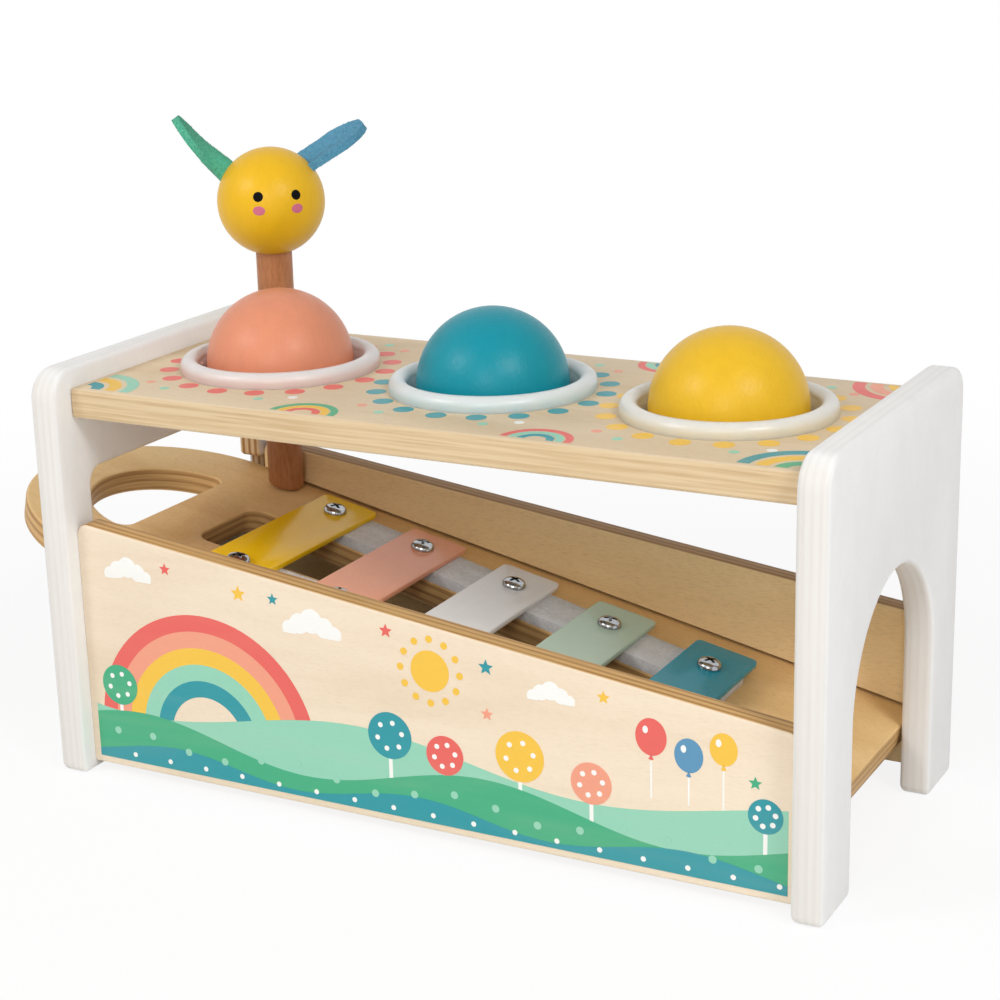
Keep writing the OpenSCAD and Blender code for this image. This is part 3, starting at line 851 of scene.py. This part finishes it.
fuzz_tree, given = new_tree(
    "felt_fuzz",
    {"Density": "Float", "Length": "Float", "Thickness": "Float", "Seed": "Int", "Finish": "Material"},
)
scatter = add(
    fuzz_tree, "GeometryNodeDistributePointsOnFaces",
    {"Mesh": given["Geometry"], "Density": given["Density"], "Seed": given["Seed"]},
)
spike = add(
    fuzz_tree, "GeometryNodeMeshCone",
    {"Vertices": 3, "Radius Top": 0.0, "Radius Bottom": given["Thickness"], "Depth": given["Length"]},
)
lean = add(
    fuzz_tree, "FunctionNodeRandomValue",
    {0: (-1.15, -1.15, 0.0), 1: (1.15, 1.15, 6.28), "Seed": given["Seed"]},
    data_type="FLOAT_VECTOR",
)
stand = add(
    fuzz_tree, "FunctionNodeRotateEuler",
    {"Rotation": scatter.outputs["Rotation"], "Rotate By": lean.outputs[0]},
    space="LOCAL",
)
size = add(
    fuzz_tree, "FunctionNodeRandomValue",
    {2: 0.5, 3: 1.3, "Seed": given["Seed"]},
    data_type="FLOAT",
)
fuzz = add(
    fuzz_tree, "GeometryNodeInstanceOnPoints",
    {
        "Points": scatter.outputs["Points"],
        "Instance": spike.outputs["Mesh"],
        "Rotation": stand.outputs[0],
        "Scale": size.outputs[1],
    },
)
end_tree(fuzz_tree, fuzz.outputs[0], given["Finish"])


def fuzzy(piece, name, finish, body, density, length, seed):
    """Loose fibres on a felt piece, as a piece of their own on the same body."""
    values = {
        "Density": density,
        "Length": length * MM,
        "Thickness": FIBRE_THICK * MM,
        "Seed": seed,
        "Finish": finish,
    }
    return dress(grow(fuzz_tree, name, piece.data.copy(), values), body)


def soften_rim(piece, width, segments):
    """Rounds the cut rim of a felt piece."""
    rim = piece.modifiers.new("soft_rim", "BEVEL")
    rim.width = width * MM
    rim.segments = segments
    rim.angle_limit = math.radians(50)


def lump(piece, size, height):
    """Moves each point a little in or out by smooth noise, so a cut sheet looks handled."""
    for vertex in piece.data.vertices:
        swell = noise.noise(vertex.co / (size * MM)) * height * MM
        vertex.co += vertex.normal * swell


print("fuzz tree has", len(fuzz_tree.nodes), "nodes")

# %% Felt strips
strip_felt = felt("strip_felt", colour(238, 238, 240), colour(252, 252, 253), colour(196, 196, 198))
for node, name, seed in (("felt_rear", "felt_strip_rear", 21), ("felt_front", "felt_strip_front", 22)):
    strip = new_object(joined_copy(node), name, strip_felt)
    soften_rim(strip, 0.9, 4)
    bake_modifiers(strip)
    smooth_below(strip, 50)
    dress(strip, "tray", node)
    fibres = fuzzy(strip, name + "_fibres", strip_felt, "tray", 1.6e6, 1.0, seed)
    print(name, len(strip.data.polygons), "faces,", len(fibres.data.polygons), "in fibres")

# %% [markdown]
# ## The mallet's handle
#
# The handle is a turned stick of reddish wood. Its foot stands on the sloping tray, so it is cut to
# the tray's slope, and its rim is slightly rounded. A lathed piece stands for it: the section is a
# list of radii and heights, spun round the axis, and the foot is then sheared to the slope.

# %% Handle
MALLET = Vector((-103.1, 43.7, 0)) * MM
HANDLE_LOW, HANDLE_TOP, HANDLE_R = 68.26, 160.487, 5.9
section = [(0, HANDLE_LOW), (4.6, HANDLE_LOW), (5.3, HANDLE_LOW + 0.25), (5.75, HANDLE_LOW + 0.8)]
section += [(HANDLE_R, HANDLE_LOW + 1.5), (HANDLE_R, 100), (HANDLE_R, 130), (HANDLE_R, HANDLE_TOP - 0.4)]
section += [(HANDLE_R - 0.4, HANDLE_TOP), (0, HANDLE_TOP)]
stick = lathe(scaled(section), 64)
# The shear is whole below 80 mm and fades out up to 90 mm
for vertex in stick.verts:
    low_share = min(max(9 - vertex.co.z / MM / 10, 0), 1)
    vertex.co.z -= low_share * vertex.co.x * math.tan(TRAY_TILT)
bmesh.ops.translate(stick, verts=stick.verts, vec=MALLET)
HANDLE_PALE, HANDLE_DARK = colour(180, 120, 74), colour(158, 98, 56)
handle_wood = turned_wood("handle_wood", HANDLE_PALE, HANDLE_DARK, (0.9, 0.9, 0.2), 0.45)
handle = place_piece(stick, "handle", handle_wood, "mallet", "mallet_handle", smooth=40)
print("handle", len(handle.data.polygons), "faces")

# %% [markdown]
# ## The mallet's face
#
# Two black dots and two pink cheeks are stamped on the ball. Each is a thin patch that follows the
# sphere: a disc of rings on the ball's surface, pushed out by less than the thickness of paint, with
# its rim turned down into the ball so that no gap shows from the side.

# %% Eyes and cheeks
HEAD = MALLET + Vector((0, 0, 164.562 * MM))
HEAD_R = 17.5
STAMP_STEPS = 40


def stamp(compass, lift, wide, tall, proud=0.05):
    """A patch on the head, with its half width and half height in millimetres."""
    place = Euler((0, math.radians(-lift), math.radians(compass))).to_matrix()
    shape = bmesh.new()
    rings = []
    profile = [(share, proud) for share in (0, 0.35, 0.7, 0.95)]
    profile += [(1.0, proud * 0.6), (1.0, -0.15)]
    for share, out in profile:
        count = STAMP_STEPS if share else 1
        ring = []
        for k in range(count):
            angle = 2 * math.pi * k / count
            side = share * wide * math.cos(angle) / HEAD_R
            over = share * tall * math.sin(angle) / HEAD_R
            spot = Vector((1, math.tan(side), math.tan(over))).normalized() * (HEAD_R + out) * MM
            ring.append(shape.verts.new(HEAD + place @ spot))
        rings.append(ring)
    for inner, outer in zip(rings, rings[1:]):
        for k in range(STAMP_STEPS):
            after = (k + 1) % STAMP_STEPS
            corners = [inner[k % len(inner)], outer[k], outer[after], inner[(k + 1) % len(inner)]]
            shape.faces.new(dict.fromkeys(corners))
    shape.faces.new(list(reversed(rings[-1])))
    bmesh.ops.recalc_face_normals(shape, faces=shape.faces)
    return shape


def stamped_ink(name, main, gloss=0.55):
    """Pad printed ink: even, with a trace of the lacquer's texture."""
    finish, tree, shader = new_finish(
        name, specular_ior_level=0.08, coat_weight=0.01, coat_roughness=0.3
    )
    place = own_place(tree)
    cover = streaks(tree, place, (0.8, 0.8, 0.8), detail=4)
    paint = between(tree, ease(tree, cover, 0.3, 0.75), main, darker(main, 0.88))
    tree.links.new(paint, shader.inputs["Base Color"])
    tree.links.new(ease(tree, cover, 0.3, 0.75, gloss, gloss + 0.12), shader.inputs["Roughness"])
    return finish


def merged(*shapes):
    """Several shapes as one."""
    whole = bmesh.new()
    for shape in shapes:
        part = bpy.data.meshes.new("part")
        shape.to_mesh(part)
        shape.free()
        whole.from_mesh(part)
        bpy.data.meshes.remove(part)
    return whole


eyes = merged(stamp(-70.0, 13.2, 1.62, 1.62), stamp(-28.1, 13.2, 1.62, 1.62))
place_piece(eyes, "eye_dots", stamped_ink("eye_black", colour(5, 4, 4)), "mallet", smooth=40)
cheeks = merged(stamp(-69.4, -1.4, 2.0, 1.5), stamp(-28.0, -1.1, 2.0, 1.5))
place_piece(cheeks, "cheek_spots", stamped_ink("cheek_pink", colour(208, 114, 138)), "mallet", smooth=40)
print("face stamped at", [round(v / MM, 1) for v in HEAD])

# %% [markdown]
# ## Felt wings
#
# Each wing is a leaf of thick felt whose root is folded lengthwise and pushed into a slot in the
# head, so it is a deep fold at the root and nearly flat at the tip. A rule gives that shape: across
# the wing the sheet bends in a narrow crease and then runs straight, the angle of its sides fades
# from root to tip, and along it the width follows a leaf. Solidify then gives the sheet its
# thickness, and a bevel softens the cut rim.

# %% Wings
WING_ROOT, WING_WIDE, WING_THICK = 5.0, 6.4, 2.6
CREASE = 2.0
WIDE_FROM, TAPER_FROM, TIP_BACK = 8, 11, 10.6


def leaf_half_width(x, long, root):
    """Half the width of the cut leaf at a distance from the head, from half its width at the root."""
    if x < WIDE_FROM:
        return root + (WING_WIDE - root) * math.sin(max(x, 0) / WIDE_FROM * math.pi / 2)
    return WING_WIDE * math.sqrt(1 - (max(x - TAPER_FROM, 0) / (long - TIP_BACK)) ** 2)


def folded(reach, bend):
    """Where a point of the sheet lies across the fold, at a reach from the crease's middle."""
    curved = min(abs(reach), CREASE)
    flat = abs(reach) - curved
    angle = bend * curved / CREASE
    across = CREASE / bend * math.sin(angle) + flat * math.cos(bend)
    height = CREASE / bend * (1 - math.cos(angle)) + flat * math.sin(bend)
    return math.copysign(across, reach), height


def wing_sheet(place, long, root, fold, fade, twist, seed):
    """The bent sheet of one wing; fold is the angle of each side at the root, in radians."""
    shape = bmesh.new()
    rows, columns = 30, 16
    grid = []
    for i in range(rows + 1):
        x = -WING_ROOT + (long + WING_ROOT) * i / rows
        left = 1 - max(x, 0) / long
        bend = fold * left ** fade + math.copysign(0.04, fold)
        half = leaf_half_width(x, long, root)
        turned = Matrix.Rotation(twist * (1 - left), 2)
        sink = 0.5 * (turned @ Vector(folded(half, bend))).y
        line = []
        for j in range(columns + 1):
            share = 2 * j / columns - 1
            across, height = turned @ Vector(folded(half * share, bend))
            height += 0.25 * noise.noise(Vector((x * 0.12, share * 2, seed))) - sink
            line.append(shape.verts.new(place @ (Vector((x, across, height)) * MM)))
        grid.append(line)
    for low, high in zip(grid, grid[1:]):
        for j in range(columns):
            shape.faces.new((low[j], high[j], high[j + 1], low[j + 1]))
    bmesh.ops.recalc_face_normals(shape, faces=shape.faces)
    return shape


def wing_place(root, lift, tip, spin):
    """From the head's middle out to the root, then tipped up and rolled about the wing's length."""
    steps = [Matrix.Translation(HEAD), Matrix.Rotation(math.radians(root), 4, "Z")]
    steps += [Matrix.Rotation(math.radians(-lift), 4, "Y"), Matrix.Translation((HEAD_R * MM, 0, 0))]
    steps += [Matrix.Rotation(math.radians(-tip), 4, "Y"), Matrix.Rotation(math.radians(spin), 4, "X")]
    whole = Matrix.Identity(4)
    for step in steps:
        whole = whole @ step
    return whole


def wing(name, node, finish, place, long, root, fold, fade, twist, seed):
    """One wing with its fibres, built from a folded sheet."""
    leaf = wing_sheet(place, long, root, fold, fade, twist, seed)
    piece = place_piece(leaf, name, finish, "mallet", node)
    thick = piece.modifiers.new("felt_thickness", "SOLIDIFY")
    thick.thickness = WING_THICK * MM
    thick.offset = 0
    soften_rim(piece, 0.45, 2)
    smoother = piece.modifiers.new("smoother", "SUBSURF")
    smoother.levels = smoother.render_levels = 1
    bake_modifiers(piece)
    lump(piece, 1.4, 0.12)
    piece.data.shade_smooth()
    fibres = fuzzy(piece, name + "_fibres", finish, "mallet", 2.2e6, 0.6, seed)
    print(name, len(piece.data.polygons), "faces,", len(fibres.data.polygons), "in fibres")


green_felt = felt("green_felt", colour(80, 178, 144), colour(118, 204, 174), colour(46, 146, 112))
blue_felt = felt("blue_felt", colour(88, 154, 184), colour(120, 180, 206), colour(54, 118, 152))
wing(
    "green_wing", "wing_green", green_felt, wing_place(197, 34, 12.5, 0),
    long=23.5, root=6.6, fold=-1.0, fade=2.1, twist=0.2, seed=31,
)
wing(
    "blue_wing", "wing_blue", blue_felt, wing_place(45, 42, -11, 13),
    long=21.9, root=6.7, fold=0.3, fade=1.5, twist=0.0, seed=32,
)

# %% [markdown]
# ## A printed picture on the boards
#
# The front panel and the plate are printed in flat cheerful colours. The design here is a plain
# landscape of hills, a rainbow, clouds and balloons, made for this lesson. Each shape is a thin
# prism of ink, a few hundredths of a millimetre proud, and later colours lie over earlier ones as
# they do in screen printing. All shapes of one colour are one piece. Printing follows the wood:
# the ink's finish lets a little of the grain show through.

# %% Helpers for ink
FACE_Y, PLATE_Z = -51.7, 122.0


def on_front(u, v, out):
    """A point of the print on the front panel, standing out by so much."""
    return Vector((u, FACE_Y - out, v)) * MM


def on_plate(u, v, out):
    """A point of the print on the plate, standing out by so much."""
    return Vector((u, v, PLATE_Z + out)) * MM


def prism(shape, lay, outline, layer):
    """A closed slab of ink from an outline that goes anticlockwise as it is seen."""
    out = 0.04 + 0.03 * layer
    top = [shape.verts.new(lay(u, v, out)) for u, v in outline]
    low = [shape.verts.new(lay(u, v, -0.05)) for u, v in outline]
    shape.faces.new(top)
    shape.faces.new(list(reversed(low)))
    for k in range(len(top)):
        shape.faces.new((top[k - 1], low[k - 1], low[k], top[k]))


def disc(u, v, wide, tall=None, steps=36):
    angles = [2 * math.pi * k / steps for k in range(steps)]
    return [(u + wide * math.cos(a), v + (tall or wide) * math.sin(a)) for a in angles]


def band(u, v, inner, outer, start=0, end=180, steps=40):
    """Part of a ring between two angles in degrees."""
    angles = [math.radians(start + (end - start) * k / steps) for k in range(steps + 1)]
    far = [(u + outer * math.cos(a), v + outer * math.sin(a)) for a in angles]
    near = [(u + inner * math.cos(a), v + inner * math.sin(a)) for a in reversed(angles)]
    return far + near


def wedge(u, v, radius, start, end, steps=24):
    angles = [math.radians(start + (end - start) * k / steps) for k in range(steps + 1)]
    return [(u, v)] + [(u + radius * math.cos(a), v + radius * math.sin(a)) for a in angles]


def star(u, v, radius, points=5):
    angles = [math.pi * (k / points + 0.5) for k in range(2 * points)]
    radii = [radius if k % 2 == 0 else 0.45 * radius for k in range(2 * points)]
    return [(u + r * math.cos(a), v + r * math.sin(a)) for a, r in zip(angles, radii)]


def box(u, v, wide, tall):
    return [(u, v), (u + wide, v), (u + wide, v + tall), (u, v + tall)]


def cloud(u, v, size):
    """A flat-bottomed cloud: the upper edge of five overlapping rounds."""
    rounds = [(-1.0, 0.0, 0.34), (-0.55, 0.25, 0.42), (0.0, 0.42, 0.5)]
    rounds += [(0.58, 0.22, 0.42), (1.02, 0.0, 0.34)]
    outline = []
    for k in range(61):
        x = 1.34 - 2.68 * k / 60
        tops = [b + math.sqrt(max(r * r - (x - a) ** 2, 0)) for a, b, r in rounds if abs(x - a) <= r]
        outline.append((u + size * x, v + size * max(tops, default=0.0)))
    for k in range(61):
        x = -1.34 + 2.68 * k / 60
        dips = [b - math.sqrt(max(r * r - (x - a) ** 2, 0)) for a, b, r in rounds if abs(x - a) <= r]
        outline.append((u + size * x, v + size * max(min(dips, default=0.0), -0.2)))
    tidy = []
    for p in outline:
        if not tidy or math.dist(p, tidy[-1]) > 0.05:
            tidy.append(p)
    return tidy if math.dist(tidy[0], tidy[-1]) > 0.05 else tidy[:-1]


HILL_FOOT, HILL_SIDE = 5.2, 113.4


def hill(base, height, length, shift, left=-HILL_SIDE, right=HILL_SIDE):
    """A rolling edge over a flat foot."""
    steps = 80
    xs = [right + (left - right) * k / steps for k in range(steps + 1)]
    crest = [(x, base + height * math.sin(2 * math.pi * x / length + shift)) for x in xs]
    return [(left, HILL_FOOT), (right, HILL_FOOT)] + crest


def printed(name, lay, ink, shapes):
    """One colour of the print as one piece; shapes is a list of (outline, layer)."""
    shape = bmesh.new()
    for outline, layer in shapes:
        prism(shape, lay, outline, layer)
    return place_piece(shape, name, ink, "bench")


def wood_ink(name, main, turned, gloss=0.42):
    """Ink on wood, through which the grain shows faintly."""
    finish, tree, shader = new_finish(name, coat_weight=0.05, coat_roughness=0.4)
    fibres, clouds = wood_grain(tree, own_place(tree, (0, 0, 0), turned))
    thin = between(tree, ease(tree, fibres, 0.5, 0.85, 0, 0.4), main, darker(main, 0.8))
    thin = between(tree, ease(tree, clouds, 0.4, 0.8, 0, 0.12), thin, colour(226, 204, 170))
    tree.links.new(thin, shader.inputs["Base Color"])
    tree.links.new(ease(tree, fibres, 0.3, 0.8, gloss, gloss + 0.12), shader.inputs["Roughness"])
    return finish


print("a cloud has", len(cloud(0, 0, 10)), "points")

# %% The front panel's landscape
INKS = {
    "mint": (142, 202, 176),
    "green": (60, 166, 122),
    "teal": (32, 144, 154),
    "coral": (224, 96, 88),
    "peach": (232, 152, 124),
    "yellow": (236, 188, 62),
    "white": (238, 237, 233),
    "blue": (86, 142, 178),
}


def ink_set(board, turned):
    """Every ink of the print, with its grain turned to that of a board."""
    return {name: wood_ink(board + "_ink_" + name, colour(*steps), turned) for name, steps in INKS.items()}


front_inks = ink_set("front", UPRIGHT)
RAINBOW, STRIPE = (-72, 18), 5.2
front_print = {name: [] for name in INKS}
for k, name in enumerate(("coral", "peach", "yellow", "mint", "teal")):
    outer = 39 - k * STRIPE
    front_print[name].append((band(*RAINBOW, outer - STRIPE, outer), 0))
front_print["mint"].append((hill(26, 5, 150, 2.4), 1))
front_print["green"].append((hill(17, 5, 118, 0.4), 2))
front_print["teal"].append((hill(9.6, 2.8, 84, 1.5), 3))
front_print["white"] += [(cloud(-33, 58, 7.5), 1), (cloud(-98, 66, 6.5), 1), (cloud(44, 50, 5.5), 1)]
front_print["yellow"].append((disc(6, 52, 6.2), 1))
for k in range(12):
    angle = math.radians(30 * k)
    far = (6 + 9.6 * math.cos(angle), 52 + 9.6 * math.sin(angle))
    front_print["yellow"].append((disc(*far, 1.1, steps=16), 1))
BALLOONS = ((74, 44, 4.6, "coral"), (85, 40.5, 4.2, "blue"), (95, 44, 4.0, "yellow"))
for u, v, r, name in BALLOONS:
    front_print[name].append((disc(u, v, r, r * 1.18), 1))
    front_print[name].append((wedge(u, v - 1.1 * r, 1.6, 240, 300, 4), 1))
    front_print["white"].append((box(u - 0.25, 26, 0.5, v - 1.25 * r - 27.2), 0))
    front_print["white"].append((disc(u - 0.36 * r, v + 0.42 * r, 0.8, 1.1, 16), 2))
TREES = (
    (-104, 30, 6.5, "green"), (-8, 30, 7.2, "teal"), (10, 27, 6.0, "coral"),
    (34, 31, 7.6, "yellow"), (56, 27, 6.2, "peach"), (107, 27, 5.0, "teal"),
)
for u, v, r, name in TREES:
    front_print["white"].append((box(u - 0.6, 14, 1.2, v - 14), 1.5))
    front_print[name].append((disc(u, v, r), 2.5))
    for ring in range(6):
        angle = math.radians(60 * ring + 15)
        spot = (u + 0.58 * r * math.cos(angle), v + 0.58 * r * math.sin(angle))
        front_print["white"].append((disc(*spot, 0.8, steps=14), 3.5))
for k in range(17):
    u = -106 + 13.2 * k
    front_print["mint"].append((disc(u, 13.2 + 2.2 * math.sin(u / 9), 1.2, steps=16), 4))
    front_print["white"].append((disc(u + 6, 7.6, 0.8, steps=14), 5))
STARS = (
    (-58, 66, 2.6, "yellow"), (-8, 62, 2.2, "coral"), (24, 56, 2.4, "teal"), (-46, 66, 1.9, "teal"),
    (60, 53, 2.0, "yellow"), (104, 36, 2.0, "green"), (-84, 70, 2.0, "coral"), (24, 42, 2.0, "peach"),
)
for u, v, r, name in STARS:
    front_print[name].append((star(u, v, r), 1))
for name, shapes in front_print.items():
    printed("front_print_" + name, on_front, front_inks[name], shapes)
print("front print", {name: len(shapes) for name, shapes in front_print.items()})

# %% [markdown]
# ## Beads round the rings
#
# On the plate each ring is circled by beads in the colour of its ball. Beads that follow a circle
# are again a job for Geometry Nodes: a circle of points, a flat disc on each point, and named inputs
# for how many, how far out and how large.

# %% Beads on the plate
bead_tree, given = new_tree(
    "bead_circle",
    {"Count": "Int", "Radius": "Float", "Bead": "Float", "Height": "Float", "Finish": "Material"},
)
around = add(
    bead_tree, "GeometryNodeMeshCircle",
    {"Vertices": given["Count"], "Radius": given["Radius"]},
)
bead = add(
    bead_tree, "GeometryNodeMeshCylinder",
    {"Vertices": 24, "Radius": given["Bead"], "Depth": given["Height"]},
)
beads = add(
    bead_tree, "GeometryNodeInstanceOnPoints",
    {"Points": around.outputs[0], "Instance": bead.outputs["Mesh"]},
)
end_tree(bead_tree, beads.outputs[0], given["Finish"])

plate_inks = ink_set("plate", LYING)
BALL_X, BALL_Y = (-72.6, 1.4, 75.4), -1.1
BEADS, BEAD_CIRCLE, BEAD_R, BEAD_THICK = 18, 34.2, 3.0, 0.1
half_step = Matrix.Rotation(math.pi / BEADS, 4, "Z")
for x, name in zip(BALL_X, ("coral", "teal", "yellow")):
    values = {
        "Count": BEADS,
        "Radius": BEAD_CIRCLE * MM,
        "Bead": BEAD_R * MM,
        "Height": BEAD_THICK * MM,
        "Finish": plate_inks[name],
    }
    circle = grow(bead_tree, "beads_" + name, None, values)
    circle.data.transform(Matrix.Translation(Vector((x, BALL_Y, PLATE_Z + 0.01)) * MM) @ half_step)
    dress(circle, "bench")
    print(circle.name, len(circle.data.polygons), "faces")

# %% Arcs on the plate
plate_print = {name: [] for name in INKS}
FRONT_EDGE, REAR_EDGE, SIDE_EDGE = -47.4, 45.2, 113.8
for u, names in ((-35.6, ("green", "yellow", "coral")), (38.4, ("coral", "mint", "teal"))):
    for k, name in enumerate(names):
        plate_print[name].append((band(u, FRONT_EDGE, 8.4 - 2.6 * k, 10.6 - 2.6 * k), 0))
        plate_print[name].append((band(u, REAR_EDGE, 8.4 - 2.6 * k, 10.6 - 2.6 * k, 180, 360), 0))
CORNERS = (
    (-SIDE_EDGE, FRONT_EDGE, 0, ("mint", "yellow", "teal")),
    (SIDE_EDGE, FRONT_EDGE, 90, ("teal", "yellow", "green")),
    (SIDE_EDGE, REAR_EDGE, 180, ("coral", "peach", "yellow")),
)
for u, v, start, names in CORNERS:
    for k, name in enumerate(names):
        plate_print[name].append((band(u, v, 14 - 5.2 * k, 17.6 - 5.2 * k, start, start + 90), 0))
for x in BALL_X:
    for angle in (52, 66, 114, 128, 232, 246, 294, 308):
        a = math.radians(angle)
        spot = (x + 41 * math.cos(a), BALL_Y + 41 * math.sin(a))
        name = ("mint", "peach", "white")[angle % 3]
        plate_print[name].append((disc(*spot, 1.5, steps=20), 0))
for name, shapes in plate_print.items():
    if shapes:
        printed("plate_print_" + name, on_plate, plate_inks[name], shapes)
print("plate print", {name: len(shapes) for name, shapes in plate_print.items()})
